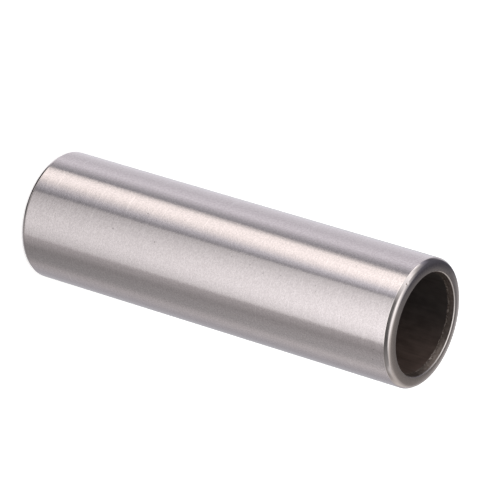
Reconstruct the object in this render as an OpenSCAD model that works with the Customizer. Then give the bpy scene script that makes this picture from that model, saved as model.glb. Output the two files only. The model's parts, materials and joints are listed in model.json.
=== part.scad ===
// Gudgeon pin: a thick-walled steel tube, ground outside, with a turned and crowned form at both ends.
// It stands on one end, centred on the origin, with its axis along +Z.

/* [Pin] */
// Outside diameter of the ground running surface
pin_d = 22; // [10:0.1:60]
// Length over the two ends
pin_l = 74; // [20:0.5:160]
// Wall between the ground outside and the drawn bore
wall = 2.5; // [1.8:0.1:4.5]

/* [Outer end edge] */
// Length along the axis from the end to the crisp line where the lead-in meets the outside
lead_l = 0.9; // [0.5:0.05:2]
// Angle of the lead-in chamfer, from the axis
lead_angle = 30; // [15:1:45]
// Radius that rolls the lead-in chamfer into the crowned end face
edge_r = 0.8; // [0.2:0.05:1.2]
// Radius of the end face's crown, which falls away from the land round the mouth
crown_r = 7; // [4:0.5:20]

/* [Bore mouth] */
// Depth from the end to the line where the mouth's cone runs out in the bore
mouth_l = 1.2; // [0.5:0.05:4]
// How far the mouth's cone opens the bore, on the radius
mouth_w = 0.29; // [0.1:0.01:0.6]
// Width of the 45 degree break between the mouth's cone and the end
mouth_break = 0.12; // [0.05:0.01:0.3]
// Width of the flat land between the break and the crown, on which the pin stands
land_w = 0.2; // [0.05:0.05:0.4]

/* [Hidden] */
$fn = 128;
steel = [0.74, 0.71, 0.71];

// The section is drawn from the ground outside: x is 0 there and negative into the wall,
// and y is the height above the lower end.

// Where the mouth's cone meets the break, and where the land ends and the crown starts
mouth_x = -wall + mouth_w;
land_x = mouth_x + mouth_break + land_w;
// How far the crown's start lies inside the line of the lead-in chamfer
reach = -land_x * cos(lead_angle) - lead_l * sin(lead_angle);
// The crown's lean at its end, for which land, crown, edge radius and chamfer are tangent to each other
lean = asin((reach - edge_r + crown_r * sin(lead_angle)) / (crown_r - edge_r)) - lead_angle;
// How a circle of radius 1 that rests on the land's plane moves from its lowest point to that lean
roll = [sin(lean), 1 - cos(lean)];
crown_end = [land_x, 0] + crown_r * roll;
// The edge circle would rest on the land's end, and is rolled along inside the crown from there
edge_rest = [land_x, edge_r];
edge_roll = (crown_r - edge_r) * roll;
lead_start = edge_rest + edge_roll + edge_r * [cos(lead_angle), -sin(lead_angle)];

// The wall's outline at the lower end, from the bore round to the outside
lower_end = [
    [-wall, mouth_l],
    [mouth_x, mouth_break],
    [mouth_x + mouth_break, 0],
    [land_x, 0],
    crown_end,
    lead_start,
    [0, lead_l],
    [0, lead_l + wall],
    [-wall, mouth_l + wall],
];

// What the child, a circle, adds outside the straight line between two of its points, with a root in the wall
module bulge(start, end) {
    outward = wall * [1, -1];
    root = outward / -16;
    intersection() {
        children();
        polygon([start + root, start, start + outward, end + outward, end, end + root]);
    }
}

// The formed lower end of the wall: the face's crown and the edge radius stand out from the outline
module end_section() {
    polygon(lower_end);
    bulge([land_x, 0], crown_end) translate([land_x, crown_r]) circle(r = crown_r);
    bulge(crown_end, lead_start) translate(edge_rest) translate(edge_roll) circle(r = edge_r);
}

// One side of the pin's lengthwise section: the plain wall, between two formed ends
module wall_section() {
    polygon([[-wall, mouth_l], [0, lead_l], [0, pin_l - lead_l], [-wall, pin_l - mouth_l]]);
    end_section();
    translate([0, pin_l]) mirror([0, 1]) end_section();
}

module gudgeon_pin() {
    color(steel) rotate_extrude() translate([pin_d / 2, 0]) wall_section();
}

gudgeon_pin();
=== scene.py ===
"""A gudgeon pin: ground steel tube with turned, crowned ends and a dark bore, in a plain studio."""
import json
import math

import bpy
from mathutils import Matrix, Vector, noise


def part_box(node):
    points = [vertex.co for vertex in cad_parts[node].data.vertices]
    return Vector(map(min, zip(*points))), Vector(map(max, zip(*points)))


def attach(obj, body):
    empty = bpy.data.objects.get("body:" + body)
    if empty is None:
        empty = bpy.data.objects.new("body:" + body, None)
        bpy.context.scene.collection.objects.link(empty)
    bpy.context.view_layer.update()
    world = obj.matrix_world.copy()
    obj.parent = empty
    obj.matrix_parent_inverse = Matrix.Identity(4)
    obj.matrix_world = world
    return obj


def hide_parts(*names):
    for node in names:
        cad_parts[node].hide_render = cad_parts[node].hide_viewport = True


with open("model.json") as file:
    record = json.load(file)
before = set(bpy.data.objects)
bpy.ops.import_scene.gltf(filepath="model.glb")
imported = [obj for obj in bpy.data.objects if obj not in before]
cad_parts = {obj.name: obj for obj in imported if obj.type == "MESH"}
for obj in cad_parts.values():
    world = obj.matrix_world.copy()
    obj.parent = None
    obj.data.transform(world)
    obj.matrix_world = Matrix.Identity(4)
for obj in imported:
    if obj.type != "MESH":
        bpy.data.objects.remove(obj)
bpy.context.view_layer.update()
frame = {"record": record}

# Sizes, in metres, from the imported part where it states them
MM = 0.001
NODE = "gudgeon_pin"
mount_dims = {mount["name"]: mount["dims"] for mount in frame["record"]["mounts"]}
PIN_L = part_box(NODE)[1].z
PIN_R = mount_dims["journal"]["r_mm"] * MM
BORE_R = mount_dims["through_bore"]["r_mm"] * MM
LEAD_L = (PIN_L - mount_dims["journal"]["length_mm"] * MM) / 2
MOUTH_L = (PIN_L - mount_dims["through_bore"]["length_mm"] * MM) / 2
LEAD_ANGLE = math.radians(30)
EDGE_R = 0.8 * MM
CROWN_R = 7 * MM
MOUTH_W = 0.29 * MM
MOUTH_BREAK = 0.12 * MM
LAND_W = 0.2 * MM

# The end's section, as in the part's source: land, crown, edge radius and lead-in are tangent
MOUTH_R = BORE_R + MOUTH_W
LAND_R = MOUTH_R + MOUTH_BREAK + LAND_W
MOUTH_SLOPE = MOUTH_W / (MOUTH_L - MOUTH_BREAK)
REACH = (PIN_R - LAND_R) * math.cos(LEAD_ANGLE) - LEAD_L * math.sin(LEAD_ANGLE)
CROWN_PAST_EDGE = CROWN_R - EDGE_R
CROWN_LEAN = math.asin((REACH - EDGE_R + CROWN_R * math.sin(LEAD_ANGLE)) / CROWN_PAST_EDGE) - LEAD_ANGLE
LEAD_LEAN = math.pi / 2 - LEAD_ANGLE
EDGE_AT_R = LAND_R + CROWN_PAST_EDGE * math.sin(CROWN_LEAN)
EDGE_AT_DEPTH = CROWN_R - CROWN_PAST_EDGE * math.cos(CROWN_LEAN)

# The lead-in is very slightly barrelled, and a small radius dulls its line with the outside
LEAD_BULGE = 0.008 * MM
DULL_R = 0.4 * MM
DULL_MARGIN = 0.05 * MM
DULL_AT_R = PIN_R - DULL_R
DULL_DEPTH = LEAD_L + DULL_R * math.tan(LEAD_ANGLE / 2)
LEAD_END_R = DULL_AT_R + DULL_R * math.cos(LEAD_ANGLE)
LEAD_END_DEPTH = DULL_DEPTH - DULL_R * math.sin(LEAD_ANGLE)

# The drawn bore's ripple, which makes the mouth's cone run out in a ragged line, and that line's width
RIPPLE = 0.03 * MM
RIPPLE_LENGTH = 12 * MM
RIPPLE_WIDTH = 0.7 * MM
FINE_RIPPLE_SHARE = 0.6
FINE_RIPPLE_SCALE = 2.7
RIM_W = 0.3 * MM

# A nick in the upper end's edge: turn from the camera's side, radius, depth below the end, size
NICK_TURN = math.radians(30)
NICK_R = 10.69 * MM
NICK_DEPTH = 0.38 * MM
NICK_SIZE = 0.42 * MM
NICK_CUT = 0.05 * MM
# Within this reach of the nick, faces take the mouth's dark material: painted shade in the dent
NICK_PAINTED_SHADE = 0.13 * MM
NICK_OUTWARD = Vector((-math.sin(NICK_TURN), -math.cos(NICK_TURN), 0.0))
NICK_INWARD = (Vector((0.0, 0.0, -1.0)) - NICK_OUTWARD).normalized()
NICK_AT = NICK_OUTWARD * NICK_R + Vector((0.0, 0.0, PIN_L - NICK_DEPTH))

# Mesh fineness, and the bore's rows, in millimetres from the line where the mouth's cone runs out
SEGMENTS = 512
CROWN_STEPS = 6
EDGE_STEPS = 12
LEAD_STEPS = 5
DULL_STEPS = 4
MOUTH_STEPS = 4
OUTSIDE_STEPS = 40
BORE_ROWS = [0.1, 0.25, 0.5, 0.9, 1.5, 2.4, 3.6, 5.2, 7.5, 10.5, 14.5, 19.5, 25.0, 31.0]
SHARP_ANGLE = math.radians(11)

# The camera of the photograph, which lays the pin across the picture
CAMERA_AT = Vector((0.0, -0.5983, 0.3952))
CAMERA_AIM = Vector((-0.00447, 0.0, 0.03596))
CAMERA_ROLL = math.radians(106.66)
LENS_MM = 315.35
SENSOR_MM = 36.0

# The finishes round the wall's section, each with a material of its own
ZONES = ["outside", "edge", "face", "lip", "mouth", "rim", "bore"]


# Shader nodes

# A Mix node's sockets for colours, whose names its other sockets share
MIX_FIRST = 6
MIX_SECOND = 7
MIX_RESULT = 2


def fill(tree, node, inputs):
    """Gives each named input of a node a value or a link."""
    for name, value in inputs.items():
        if isinstance(value, bpy.types.NodeSocket):
            tree.links.new(value, node.inputs[name])
        else:
            node.inputs[name].default_value = value


def add(tree, kind, inputs=None, **settings):
    """Adds a node, sets its options and fills its inputs."""
    made = tree.nodes.new(kind)
    for name, value in settings.items():
        setattr(made, name, value)
    fill(tree, made, inputs or {})
    return made


def combine(tree, operation, first, second):
    return add(tree, "ShaderNodeMath", {0: first, 1: second}, operation=operation).outputs[0]


def fade(tree, value, start, end, low=0.0, high=1.0):
    """A smooth change from low to high, as value goes from start to end."""
    inputs = {"Value": value, "From Min": start, "From Max": end, "To Min": low, "To Max": high}
    made = add(tree, "ShaderNodeMapRange", inputs, interpolation_type="SMOOTHSTEP")
    return made.outputs["Result"]


def opaque(colour):
    return colour if isinstance(colour, bpy.types.NodeSocket) else (*colour, 1.0)


def blend_colour(tree, factor, first, second):
    """A colour from first to second, each of them a link or three numbers."""
    inputs = {"Factor": factor, MIX_FIRST: opaque(first), MIX_SECOND: opaque(second)}
    return add(tree, "ShaderNodeMix", inputs, data_type="RGBA").outputs[MIX_RESULT]


def grey(level):
    return (level, level, level)


def empty_tree(owner):
    """The node tree of a material or world, with nothing in it."""
    owner.use_nodes = True
    owner.node_tree.nodes.clear()
    return owner.node_tree


# The pin's mesh

def below_top(depth):
    return PIN_L - depth


def above_foot(depth):
    return depth


def ripple(angle, height):
    """How far the drawn bore's wall stands off its true radius."""
    round_scale = BORE_R / RIPPLE_WIDTH
    along = height / RIPPLE_LENGTH
    spot = Vector((math.cos(angle) * round_scale, math.sin(angle) * round_scale, along))
    return RIPPLE * (noise.noise(spot) + FINE_RIPPLE_SHARE * noise.noise(spot * FINE_RIPPLE_SCALE))


def run_out(angle, at_height):
    """Depth at which the mouth's cone meets the rippled bore, at one angle."""
    wall = BORE_R + ripple(angle, at_height(MOUTH_L))
    return MOUTH_BREAK + (MOUTH_R - wall) / MOUTH_SLOPE


def cone_place(at_height, share, short=0.0):
    """A ring on the mouth's cone, at a share of the way to its run-out or to a line short of it."""
    def place(angle):
        depth = MOUTH_BREAK + (run_out(angle, at_height) - short - MOUTH_BREAK) * share
        return MOUTH_R - (depth - MOUTH_BREAK) * MOUTH_SLOPE, at_height(depth)

    return place


def bore_place(at_height, into):
    """A ring in the bore, at one distance past the ragged line."""
    def place(angle):
        height = at_height(run_out(angle, at_height) + into)
        return BORE_R + ripple(angle, height), height

    return place


def round_place(radius, height):
    return lambda angle: (radius, height)


def crown_rings():
    for step in range(CROWN_STEPS):
        lean = CROWN_LEAN * step / CROWN_STEPS
        yield LAND_R + CROWN_R * math.sin(lean), CROWN_R * (1 - math.cos(lean))


def edge_rings():
    for step in range(EDGE_STEPS):
        lean = CROWN_LEAN + (LEAD_LEAN - CROWN_LEAN) * step / EDGE_STEPS
        yield EDGE_AT_R + EDGE_R * math.sin(lean), EDGE_AT_DEPTH - EDGE_R * math.cos(lean)


def lead_rings(start_r, start_depth):
    for step in range(1, LEAD_STEPS):
        share = step / LEAD_STEPS
        proud = 4 * LEAD_BULGE * share * (1 - share)
        radius = start_r + (LEAD_END_R - start_r) * share
        depth = start_depth + (LEAD_END_DEPTH - start_depth) * share
        yield radius + proud * math.cos(LEAD_ANGLE), depth - proud * math.sin(LEAD_ANGLE)


def dull_rings():
    for step in range(DULL_STEPS):
        lean = LEAD_ANGLE * (1 - step / DULL_STEPS)
        yield DULL_AT_R + DULL_R * math.cos(lean), DULL_DEPTH - DULL_R * math.sin(lean)


def form_rings():
    """An end's rings from the mouth's lip to the outside: zone, radius, depth below the end."""
    edge = list(edge_rings())
    edge += list(lead_rings(*edge[-1])) + list(dull_rings())
    rings = [("lip", MOUTH_R, MOUTH_BREAK), ("face", MOUTH_R + MOUTH_BREAK, 0.0)]
    rings += [("face", *ring) for ring in crown_rings()]
    rings += [("edge", *ring) for ring in edge]
    rings += [("outside", PIN_R, DULL_DEPTH), ("outside", PIN_R, DULL_DEPTH + DULL_MARGIN)]
    return rings


def end_rings(at_height):
    """Rings of one end, from the cone's run-out in the bore round to the outside.
    Each is its zone, and a function of the angle that gives the radius and the height."""
    rings = [("rim", cone_place(at_height, 1.0))]
    for step in range(MOUTH_STEPS):
        rings.append(("mouth", cone_place(at_height, 1 - step / MOUTH_STEPS, RIM_W)))
    for zone, radius, depth in form_rings():
        rings.append((zone, round_place(radius, at_height(depth))))
    return rings


def pin_rings():
    """All rings of the wall's section, once round: upper end, outside, lower end, bore.
    The zone of a ring is that of the band from it to the next."""
    rings = end_rings(below_top)
    for step in range(1, OUTSIDE_STEPS):
        height = PIN_L - LEAD_L - (PIN_L - 2 * LEAD_L) * step / OUTSIDE_STEPS
        rings.append(("outside", round_place(PIN_R, height)))
    # The lower end is gone along backwards, so a band takes the zone of the ring it leads to
    lower = end_rings(above_foot)
    zones = ["bore"] + [zone for zone, _ in lower[:-1]]
    for zone, (_, place) in zip(reversed(zones), reversed(lower)):
        rings.append((zone, place))
    rings += [("bore", bore_place(above_foot, into * MM)) for into in BORE_ROWS]
    rings += [("bore", bore_place(below_top, into * MM)) for into in reversed(BORE_ROWS)]
    return rings


def dent(point):
    """Presses the nick into the upper edge."""
    reach = (point - NICK_AT).length / NICK_SIZE
    if reach >= 1:
        return point
    return point + NICK_INWARD * NICK_CUT * (1 - reach * reach) ** 2


def ring_points(place):
    """The points of one ring."""
    for step in range(SEGMENTS):
        angle = 2 * math.pi * step / SEGMENTS
        radius, height = place(angle)
        yield dent(Vector((radius * math.cos(angle), radius * math.sin(angle), height)))


def band_faces(row, after):
    """The faces between two rings."""
    for step in range(SEGMENTS):
        beside = (step + 1) % SEGMENTS
        corners = (row, step), (after, step), (after, beside), (row, beside)
        yield [line * SEGMENTS + column for line, column in corners]


def pin_mesh():
    rings = pin_rings()
    points, faces, zones = [], [], []
    for _, place in rings:
        points += ring_points(place)
    for row, (zone, _) in enumerate(rings):
        for face in band_faces(row, (row + 1) % len(rings)):
            faces.append(face)
            # Faces near the nick get the mouth's dark material, as painted shade in the dent
            painted_nick_shade = (points[face[0]] - NICK_AT).length < NICK_PAINTED_SHADE
            zones.append(ZONES.index("mouth" if painted_nick_shade else zone))
    mesh = bpy.data.meshes.new("gudgeon_pin_dressed")
    mesh.from_pydata(points, [], faces)
    mesh.polygons.foreach_set("material_index", zones)
    mesh.shade_smooth()
    mesh.set_sharp_from_angle(angle=SHARP_ANGLE)
    mesh.update()
    return mesh


# Materials

# Sizes of the finishes' marks along x, y and z, in millimetres
HAIRLINES = (4.0, 4.0, 0.25)
GRAIN = (0.3, 0.3, 0.3)
STREAKS = (7.0, 7.0, 0.5)
PITS = (0.4, 0.4, 0.4)
MOTTLE = (0.5, 0.5, 0.5)
WEAR_DASHES = (0.35, 0.35, 0.2)
WEAR_PATCHES = (2.0, 2.0, 2.0)
DRAWN_MARKS = (0.5, 0.5, 9.0)
SCALE_PATCHES = (1.2, 1.2, 2.0)
TURNED_LINES = 0.08 * MM

# The levels of a noise between which a mark comes up. Most of a noise lies in the first range
NOISE_RANGE = (0.3, 0.7)
STREAK_RANGE = (0.58, 0.75)
RUBBED_RANGE = (0.4, 0.6)
PIT_RANGE = (0.85, 0.89)
DASH_RANGE = (0.42, 0.62)
WEAR_RANGE = (0.35, 0.6)

# How much of the change between two colours a mark makes
GRAIN_SHARE = 0.7
RUBBED_SHARE = 0.5
PIT_SHARE = 0.5
TURNED_LINE_SHARE = 0.5
MOTTLE_SHARE = 0.5
DRAWN_MARK_SHARE = 0.4
SCALE_PATCH_SHARE = 0.6
LEAST_WEAR = 0.3

# Pairs of colours, darker and lighter, and of roughness
GROUND_COLOURS = ((0.585, 0.534, 0.539), (0.7, 0.645, 0.65))
GROUND_ROUGH = (0.14, 0.18)
PIT_COLOUR = (0.2, 0.18, 0.18)
RIM_COLOURS = ((0.15, 0.12, 0.105), (0.52, 0.45, 0.41))
BLACK_SCALE = ((0.066, 0.056, 0.053), (0.096, 0.082, 0.077))
# Lighter brown for the bore's +X side: painted light, where light falling in through the open end would
# reach the wall
PAINTED_LIT_SCALE = ((0.12, 0.084, 0.072), (0.18, 0.13, 0.112))
SCALE_ROUGH = (0.4, 0.48)
TURNED_FINISHES = {
    "edge": (((0.605, 0.555, 0.545), (0.645, 0.59, 0.58)), (0.1, 0.14)),
    "face": (((0.58, 0.52, 0.51), (0.62, 0.555, 0.543)), (0.13, 0.18)),
    "lip": (((0.62, 0.57, 0.555), (0.66, 0.61, 0.59)), (0.34, 0.4)),
    "mouth": (((0.17, 0.137, 0.12), (0.38, 0.32, 0.29)), (0.38, 0.44)),
}
# Across the bore, from where to where its black scale gives way to a lighter brown. The lighter brown is
# painted light, on the side that light falling in through the open end would reach
PAINTED_LIGHT_SIDE = (-4 * MM, 6 * MM)


def new_material(name):
    material = bpy.data.materials.new(name)
    tree = empty_tree(material)
    shader = add(tree, "ShaderNodeBsdfPrincipled")
    add(tree, "ShaderNodeOutputMaterial", {"Surface": shader.outputs["BSDF"]})
    return material, tree, shader


def marks_place(tree):
    return add(tree, "ShaderNodeTexCoord").outputs["Object"]


def stretched_noise(tree, sizes_mm, detail=2.0):
    """Noise whose features have these sizes along x, y and z."""
    scale = tuple(1 / (size * MM) for size in sizes_mm)
    inputs = {0: marks_place(tree), 1: scale}
    spread = add(tree, "ShaderNodeVectorMath", inputs, operation="MULTIPLY").outputs[0]
    inputs = {"Vector": spread, "Scale": 1.0, "Detail": detail}
    return add(tree, "ShaderNodeTexNoise", inputs).outputs["Fac"]


def ring_noise(tree, width):
    """Noise in rings about the axis, by the distance from it."""
    inputs = {0: marks_place(tree), 1: (1.0, 1.0, 0.0)}
    flat = add(tree, "ShaderNodeVectorMath", inputs, operation="MULTIPLY").outputs[0]
    radius = add(tree, "ShaderNodeVectorMath", {0: flat}, operation="LENGTH").outputs["Value"]
    inputs = {"W": combine(tree, "DIVIDE", radius, width), "Scale": 1.0}
    return add(tree, "ShaderNodeTexNoise", inputs, noise_dimensions="1D").outputs["Fac"]


def bumped(tree, height, strength, depth):
    """Normals of a surface that follows a pattern of heights."""
    inputs = {"Strength": strength, "Distance": depth, "Height": height}
    return add(tree, "ShaderNodeBump", inputs).outputs["Normal"]


def mixed_tone(tree, first, first_share, second, second_share):
    """Two noises together, each with its share of the change between two colours."""
    one = fade(tree, first, *NOISE_RANGE, high=first_share)
    other = fade(tree, second, *NOISE_RANGE, high=second_share)
    return combine(tree, "ADD", one, other)


def ground_colour(tree, hairlines, grain):
    """Satin grain with streaks that were rubbed bright, and a few dark pits."""
    streaks = fade(tree, stretched_noise(tree, STREAKS), *STREAK_RANGE)
    rubbed = combine(tree, "MULTIPLY", streaks, fade(tree, hairlines, *RUBBED_RANGE))
    lighter = combine(tree, "MULTIPLY", rubbed, RUBBED_SHARE)
    tone = combine(tree, "ADD", fade(tree, grain, *NOISE_RANGE, high=GRAIN_SHARE), lighter)
    steel = blend_colour(tree, tone, *GROUND_COLOURS)
    pits = fade(tree, stretched_noise(tree, PITS, detail=0.0), *PIT_RANGE, high=PIT_SHARE)
    return blend_colour(tree, pits, steel, PIT_COLOUR)


def ground_steel():
    """Centreless-ground outside, with fine lines round the pin."""
    material, tree, shader = new_material("ground_steel")
    hairlines = stretched_noise(tree, HAIRLINES)
    grain = stretched_noise(tree, GRAIN)
    tangent = add(tree, "ShaderNodeTangent", direction_type="RADIAL", axis="Z")
    fill(tree, shader, {
        "Base Color": ground_colour(tree, hairlines, grain),
        "Roughness": fade(tree, hairlines, *NOISE_RANGE, *GROUND_ROUGH),
        "Normal": bumped(tree, grain, strength=0.8, depth=0.006 * MM),
        "Metallic": 1.0,
        "Anisotropic": 0.9,
        "Anisotropic Rotation": 0.25,
        "Tangent": tangent.outputs["Tangent"],
    })
    return material


def turned_steel(zone):
    """Turned surface: fine rings about the axis and a faint mottle."""
    material, tree, shader = new_material(f"{zone}_steel")
    colours, rough = TURNED_FINISHES[zone]
    lines = ring_noise(tree, TURNED_LINES)
    mottle = stretched_noise(tree, MOTTLE, detail=3.0)
    tone = mixed_tone(tree, lines, TURNED_LINE_SHARE, mottle, MOTTLE_SHARE)
    fill(tree, shader, {
        "Base Color": blend_colour(tree, tone, *colours),
        "Roughness": fade(tree, mottle, *NOISE_RANGE, *rough),
        "Normal": bumped(tree, lines, strength=0.2, depth=0.002 * MM),
        "Metallic": 1.0,
    })
    return material


def worn_rim():
    """The line where the mouth's cone runs out: bright, broken wear marks on dark steel."""
    material, tree, shader = new_material("worn_rim")
    dashes = fade(tree, stretched_noise(tree, WEAR_DASHES, detail=3.0), *DASH_RANGE)
    patches = fade(tree, stretched_noise(tree, WEAR_PATCHES), *WEAR_RANGE, low=LEAST_WEAR)
    worn = combine(tree, "MULTIPLY", dashes, patches)
    fill(tree, shader, {
        "Base Color": blend_colour(tree, worn, *RIM_COLOURS),
        "Roughness": 0.5,
        "Metallic": 0.9,
    })
    return material


def drawn_bore():
    """Drawn and heat-darkened bore: black scale, with painted light as a lighter brown on one side, and
    faint marks along the axis.
    """
    material, tree, shader = new_material("drawn_bore")
    x = add(tree, "ShaderNodeSeparateXYZ", {0: marks_place(tree)}).outputs["X"]
    marks = stretched_noise(tree, DRAWN_MARKS)
    patches = stretched_noise(tree, SCALE_PATCHES, detail=3.0)
    tone = mixed_tone(tree, marks, DRAWN_MARK_SHARE, patches, SCALE_PATCH_SHARE)
    black = blend_colour(tree, tone, *BLACK_SCALE)
    painted_lit_wall = blend_colour(tree, tone, *PAINTED_LIT_SCALE)
    fill(tree, shader, {
        # Black scale on one side and lighter brown on the other: painted light across the bore
        "Base Color": blend_colour(tree, fade(tree, x, *PAINTED_LIGHT_SIDE), black, painted_lit_wall),
        "Roughness": fade(tree, patches, *NOISE_RANGE, *SCALE_ROUGH),
        "Normal": bumped(tree, marks, strength=0.3, depth=0.01 * MM),
        "Metallic": 0.3,
    })
    return material


def dress_pin():
    pin = bpy.data.objects.new("pin_finished", pin_mesh())
    bpy.context.scene.collection.objects.link(pin)
    materials = {"outside": ground_steel(), "rim": worn_rim(), "bore": drawn_bore()}
    for zone in TURNED_FINISHES:
        materials[zone] = turned_steel(zone)
    for zone in ZONES:
        pin.data.materials.append(materials[zone])
    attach(pin, "root")
    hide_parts(NODE)


# Studio

# Tints of the studio's panels
PLAIN = (1.0, 1.0, 1.0)
COOL = (0.99, 1.0, 1.06)
WARM = (1.04, 1.0, 0.96)
ROSE = (1.02, 1.0, 1.0)
MAUVE = (1.01, 1.0, 1.06)
BLUE = (1.0, 1.0, 1.2)

# Rows of soft panels round the pin: turn from the camera's side towards -X, brightness, tint
LOW_PANELS = [
    (-180, 0.45, PLAIN), (-164, 0.57, COOL), (-140, 0.47, MAUVE), (-114, 0.57, ROSE),
    (-98, 0.43, PLAIN), (-72, 0.4, ROSE), (-56, 0.54, ROSE), (-51, 0.92, PLAIN), (-44, 1.1, PLAIN),
    (-30, 1.25, PLAIN), (-8, 1.17, PLAIN), (12, 0.95, PLAIN), (25, 0.71, PLAIN), (27, 0.34, COOL),
    (30, 0.46, COOL), (40, 0.82, COOL), (49, 1.25, WARM), (58, 1.43, WARM), (70, 1.4, WARM),
    (75.5, 1.25, WARM), (77, 0.33, COOL), (84, 0.4, COOL), (102, 0.92, MAUVE), (122, 0.76, MAUVE),
    (152, 0.88, MAUVE), (166, 0.84, COOL), (180, 0.45, COOL)]
SIDE_PANELS = [
    (-180, 0.42, WARM), (-168, 0.35, WARM), (-155, 0.65, WARM), (-138, 0.74, WARM),
    (-124, 0.55, WARM), (-111, 0.32, WARM), (-48, 0.13, PLAIN), (0, 0.16, PLAIN), (40, 0.6, PLAIN),
    (50, 1.1, PLAIN), (75, 1.6, PLAIN), (92, 2.0, PLAIN), (106, 0.4, BLUE), (122, 0.12, BLUE),
    (165, 0.11, BLUE), (180, 0.42, PLAIN)]
WAIST_PANELS = [
    (-180, 0.19, WARM), (-170, 0.27, WARM), (-155, 0.48, WARM), (-138, 0.62, WARM),
    (-124, 0.65, WARM), (-101, 0.78, PLAIN), (-91, 0.38, PLAIN), (-48, 0.13, PLAIN), (20, 0.2, PLAIN),
    (39, 0.72, PLAIN), (58, 1.25, PLAIN), (75, 1.45, PLAIN), (92, 0.55, PLAIN), (112, 0.2, BLUE),
    (122, 0.12, BLUE), (172, 0.08, BLUE), (180, 0.19, PLAIN)]
MIDDLE_PANELS = [
    (-180, 0.28, WARM), (-160, 0.34, WARM), (-125, 0.5, WARM), (-105, 0.85, WARM), (-88, 0.75, PLAIN),
    (-65, 1.35, PLAIN), (-40, 1.2, PLAIN), (0, 1.1, PLAIN), (30, 1.55, PLAIN), (45, 1.55, PLAIN),
    (75, 0.8, PLAIN), (92, 0.5, PLAIN), (120, 0.14, BLUE), (173, 0.1, BLUE), (180, 0.28, PLAIN)]
HIGH_PANELS = [
    (-180, 0.58, WARM), (-140, 0.6, WARM), (-95, 0.7, WARM), (-50, 1.5, PLAIN), (30, 1.75, PLAIN),
    (75, 1.0, PLAIN), (110, 0.66, PLAIN), (150, 0.47, COOL), (180, 0.58, PLAIN)]
# The heights, as the upward part of a direction, over which a row gives way to the one above
ROWS = [
    (SIDE_PANELS, -0.3, 0.0), (WAIST_PANELS, 0.05, 0.3), (MIDDLE_PANELS, 0.54, 0.74),
    (HIGH_PANELS, 0.74, 0.91)]
CEILING = 1.15
CEILING_HEIGHT = (0.92, 1.02)

# The low panels are brighter towards their upper edge, but for two sides and a strip before one of them
LOW_SPAN = (-0.6, -0.42)
LOW_RISE = 0.5
STEADY_SIDE = (math.radians(46), math.radians(66))
STEADY_OTHER_SIDE = (math.radians(-105), math.radians(-135))
STRIP_START = (math.radians(-82), math.radians(-68))
STRIP_END = (math.radians(-50), math.radians(-56))
# From here on their edges lean, by this share of a full turn
LEANING_SIDE = (math.radians(24), math.radians(40))
LEAN_SHARE = 7 / 360

# Straight behind the pin there is a soft spot of light, and below and behind it is dark
SPOT_EDGE = (0.89, 0.99)
SPOT_SIDE = (-0.2, -0.06)
SPOT_LEVEL = 0.62
DARK_HEIGHT = (-0.76, -0.88)
DARK_BEHIND = (-0.1, 0.1)
DARK_SIDE = (0.2, 0.05)
DARK_LEVEL = 0.05

STAGE_SIZE = 4.0
FLOOR_AT = -0.02 * MM
FLOOR_COLOUR = (0.9, 0.9, 0.9)
FLOOR_GLOW = 0.6
BACKDROP_TOP = 3.0


def panel_ramp(tree, share, panels):
    """The light of one row of panels, by the share of a full turn."""
    ramp = add(tree, "ShaderNodeValToRGB", {"Fac": share})
    stops = ramp.color_ramp.elements
    while len(stops) < len(panels):
        stops.new(0.5)
    for stop, (degrees, level, tint) in zip(stops, panels):
        stop.position = degrees / 360 + 0.5
        stop.color = opaque([level * part for part in tint])
    return ramp.outputs["Color"]


def low_gain(tree, turn, z):
    """How much brighter or dimmer the low panels are at one height."""
    strip = combine(tree, "MULTIPLY", fade(tree, turn, *STRIP_START), fade(tree, turn, *STRIP_END))
    side = fade(tree, turn, *STEADY_SIDE)
    other_side = fade(tree, turn, *STEADY_OTHER_SIDE)
    steady = combine(tree, "MAXIMUM", combine(tree, "MAXIMUM", side, other_side), strip)
    rise = fade(tree, z, *LOW_SPAN, -LOW_RISE, LOW_RISE)
    change = combine(tree, "MULTIPLY", rise, combine(tree, "SUBTRACT", 1.0, steady))
    return combine(tree, "ADD", change, 1.0)


def low_light(tree, turn, share, z):
    """The low row of panels, with its leaning edges and its change of brightness with height."""
    tilt = fade(tree, z, *LOW_SPAN, -LEAN_SHARE, LEAN_SHARE)
    lean = combine(tree, "MULTIPLY", fade(tree, turn, *LEANING_SIDE), tilt)
    panels = panel_ramp(tree, combine(tree, "ADD", share, lean), LOW_PANELS)
    inputs = {0: panels, "Scale": low_gain(tree, turn, z)}
    return add(tree, "ShaderNodeVectorMath", inputs, operation="SCALE").outputs[0]


def light_by_direction(tree):
    """Panels all round, row over row, with the dark patch, the spot and the ceiling."""
    way = add(tree, "ShaderNodeTexCoord").outputs["Generated"]
    x, y, z = add(tree, "ShaderNodeSeparateXYZ", {0: way}).outputs
    up_picture = combine(tree, "MULTIPLY", x, -1.0)
    to_camera = combine(tree, "MULTIPLY", y, -1.0)
    turn = combine(tree, "ARCTAN2", up_picture, to_camera)
    inputs = {"Value": turn, "From Min": -math.pi, "From Max": math.pi}
    share = add(tree, "ShaderNodeMapRange", inputs).outputs["Result"]

    behind = combine(tree, "MULTIPLY", fade(tree, y, *DARK_BEHIND), fade(tree, x, *DARK_SIDE))
    dark = combine(tree, "MULTIPLY", fade(tree, z, *DARK_HEIGHT), behind)
    light = blend_colour(tree, dark, low_light(tree, turn, share, z), grey(DARK_LEVEL))
    for panels, start, end in ROWS:
        row = panel_ramp(tree, share, panels)
        light = blend_colour(tree, fade(tree, z, start, end), light, row)
    spot = combine(tree, "MULTIPLY", fade(tree, y, *SPOT_EDGE), fade(tree, x, *SPOT_SIDE))
    light = blend_colour(tree, spot, light, grey(SPOT_LEVEL))
    return blend_colour(tree, fade(tree, z, *CEILING_HEIGHT), light, grey(CEILING))


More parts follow.
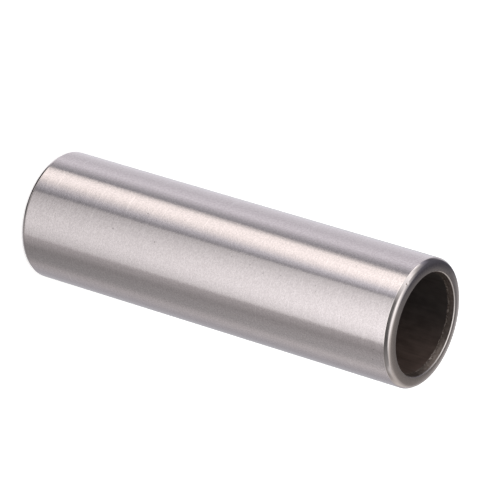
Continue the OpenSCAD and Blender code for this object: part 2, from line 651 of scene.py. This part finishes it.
def studio_light():
    """A world of soft panels, the same for all rays."""
    world = bpy.data.worlds.new("studio")
    bpy.context.scene.world = world
    tree = empty_tree(world)
    lit = add(tree, "ShaderNodeBackground", {"Color": light_by_direction(tree), "Strength": 1.0})
    add(tree, "ShaderNodeOutputWorld", {"Surface": lit.outputs[0]})


def stage_square(height):
    """The stage's four corners, at one height."""
    half = STAGE_SIZE / 2
    return [(-half, -half, height), (half, -half, height), (half, half, height), (-half, half, height)]


def stage_piece(name, points, faces, material):
    mesh = bpy.data.meshes.new(name)
    mesh.from_pydata(points, [], faces)
    mesh.materials.append(material)
    piece = bpy.data.objects.new(name, mesh)
    bpy.context.scene.collection.objects.link(piece)
    return piece


def floor_white():
    """White paint, lifted a little for the rays that show it."""
    material = bpy.data.materials.new("floor_white")
    tree = empty_tree(material)
    matte = add(tree, "ShaderNodeBsdfDiffuse", {"Color": opaque(FLOOR_COLOUR)})
    path = add(tree, "ShaderNodeLightPath").outputs
    mirrored = combine(tree, "MAXIMUM", path["Is Glossy Ray"], path["Is Transmission Ray"])
    seen = combine(tree, "MAXIMUM", path["Is Camera Ray"], mirrored)
    strength = combine(tree, "MULTIPLY", seen, FLOOR_GLOW)
    glow = add(tree, "ShaderNodeEmission", {"Strength": strength})
    both = add(tree, "ShaderNodeAddShader", {0: matte.outputs[0], 1: glow.outputs[0]})
    add(tree, "ShaderNodeOutputMaterial", {"Surface": both.outputs[0]})
    return material


def backdrop_white():
    material = bpy.data.materials.new("backdrop_white")
    tree = empty_tree(material)
    white = add(tree, "ShaderNodeEmission", {"Color": opaque(PLAIN), "Strength": 1.0})
    add(tree, "ShaderNodeOutputMaterial", {"Surface": white.outputs[0]})
    return material


def studio_floor():
    """A plain white floor. It shows the pin's shadow, and lets mirror rays and light from below pass."""
    floor = stage_piece("floor", stage_square(FLOOR_AT), [(0, 1, 2, 3)], floor_white())
    floor.visible_glossy = False
    floor.visible_shadow = False


def studio_backdrop():
    """A plain white surround behind the floor, for views from low down. It gives no light."""
    points = stage_square(FLOOR_AT) + stage_square(BACKDROP_TOP)
    sides = [(side, (side + 1) % 4, (side + 1) % 4 + 4, side + 4) for side in range(4)]
    backdrop = stage_piece("backdrop", points, sides, backdrop_white())
    backdrop.visible_glossy = False
    backdrop.visible_diffuse = False
    backdrop.visible_transmission = False
    backdrop.visible_shadow = False


def photo_camera():
    data = bpy.data.cameras.new("camera")
    data.lens = LENS_MM
    data.sensor_width = SENSOR_MM
    camera = bpy.data.objects.new("camera", data)
    bpy.context.scene.collection.objects.link(camera)
    upright = (CAMERA_AIM - CAMERA_AT).to_track_quat("-Z", "Y").to_matrix().to_4x4()
    rolled = upright @ Matrix.Rotation(CAMERA_ROLL, 4, "Z")
    camera.matrix_world = Matrix.Translation(CAMERA_AT) @ rolled
    bpy.context.scene.camera = camera


photo_camera()
dress_pin()
studio_floor()
studio_backdrop()
studio_light()
bpy.context.scene.view_settings.view_transform = "Standard"
